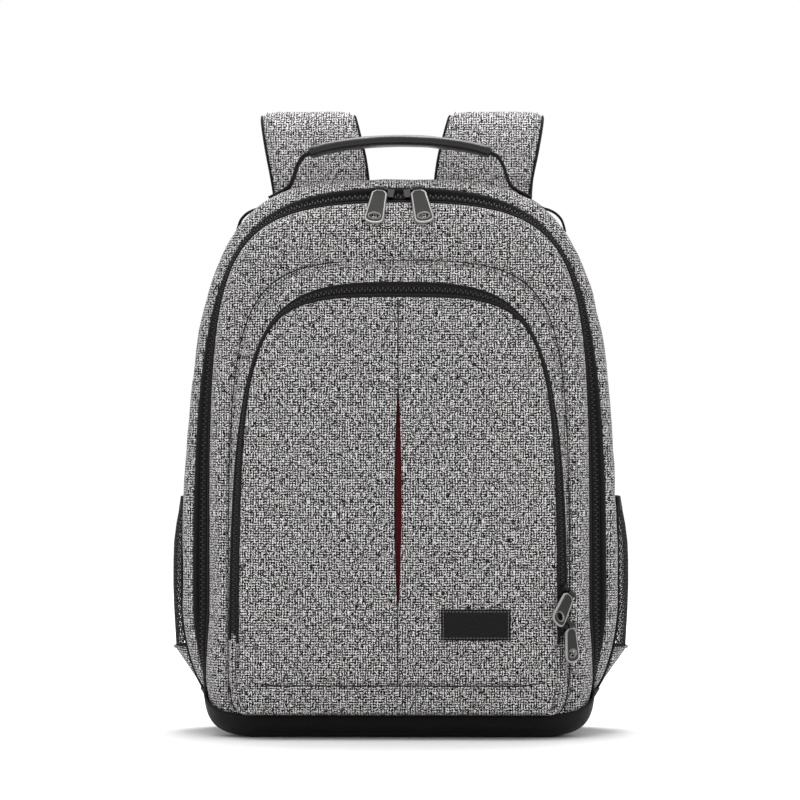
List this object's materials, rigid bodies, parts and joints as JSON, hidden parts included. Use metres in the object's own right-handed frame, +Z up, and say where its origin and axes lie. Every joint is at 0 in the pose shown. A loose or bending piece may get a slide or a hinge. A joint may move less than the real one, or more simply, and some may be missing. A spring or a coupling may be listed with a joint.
{
  "type": "camera backpack",
  "caption": "Grey camera backpack with a black base tray, arched main zip, raised front pocket with a dark red slit, net side pockets, padded straps and a wrapped carry handle.",
  "frame": {"origin": "centre of the flat underside of the base tray, under the middle of the tub", "axes": "+Z up, the front pocket faces -Y, the back panel faces +Y, +X to the right as seen from the front"},
  "size_m": [0.3448, 0.2315, 0.4709],
  "materials": {
    "grey_cloth": "matte",
    "zip_tape": "matte",
    "boot_cloth": "satin",
    "red_cloth": "matte",
    "label_weave": "matte",
    "webbing": "matte",
    "grip_wrap": "satin",
    "net": "matte",
    "plastic": "matte",
    "zip_metal": "satin"
  },
  "bodies": {
    "bag": {"rear_shell": "grey_cloth", "front_lid": "grey_cloth", "main_zip": "zip_tape", "boot": "boot_cloth", "pocket_shell": "grey_cloth", "pocket_zip": "zip_tape", "slit_panel": "red_cloth", "label": "label_weave", "handle_webbing": "webbing", "handle_grip": "grip_wrap", "strap_left": "grey_cloth", "strap_right": "grey_cloth", "lower_webbing_left": "webbing", "lower_webbing_right": "webbing", "buckle_left": "plastic", "buckle_right": "plastic", "mesh_pocket_left": "net", "mesh_pocket_right": "net", "pocket_foot_left": "grey_cloth", "pocket_foot_right": "grey_cloth", "side_webbing_left": "webbing", "side_webbing_right": "webbing", "slider_1": "zip_metal", "slider_2": "zip_metal", "slider_3": "zip_metal", "slider_4": "zip_metal"},
    "tab_1": {"pull_1": "zip_metal"},
    "tab_2": {"pull_2": "zip_metal"},
    "tab_3": {"pull_3": "zip_metal"},
    "tab_4": {"pull_4": "zip_metal"}
  },
  "joints": [
    {"name": "pull_1_swing", "type": "hinge", "parent": "bag", "child": "tab_1", "pos_m": [-0.01396, -0.02999, 0.40607], "axis": [-0.9877, 0.1031, 0.1177], "range_deg": [0, 110]},
    {"name": "pull_2_swing", "type": "hinge", "parent": "bag", "child": "tab_2", "pos_m": [0.01334, -0.02992, 0.40615], "axis": [-0.9816, -0.1258, -0.1435], "range_deg": [0, 110]},
    {"name": "pull_3_swing", "type": "hinge", "parent": "bag", "child": "tab_3", "pos_m": [0.12588, -0.08465, 0.108], "axis": [-0.5564, -0.6146, 0.5592], "range_deg": [0, 110]},
    {"name": "pull_4_swing", "type": "hinge", "parent": "bag", "child": "tab_4", "pos_m": [0.12588, -0.08604, 0.084], "axis": [-0.6675, -0.7372, -0.1045], "range_deg": [0, 110]}
  ]
}
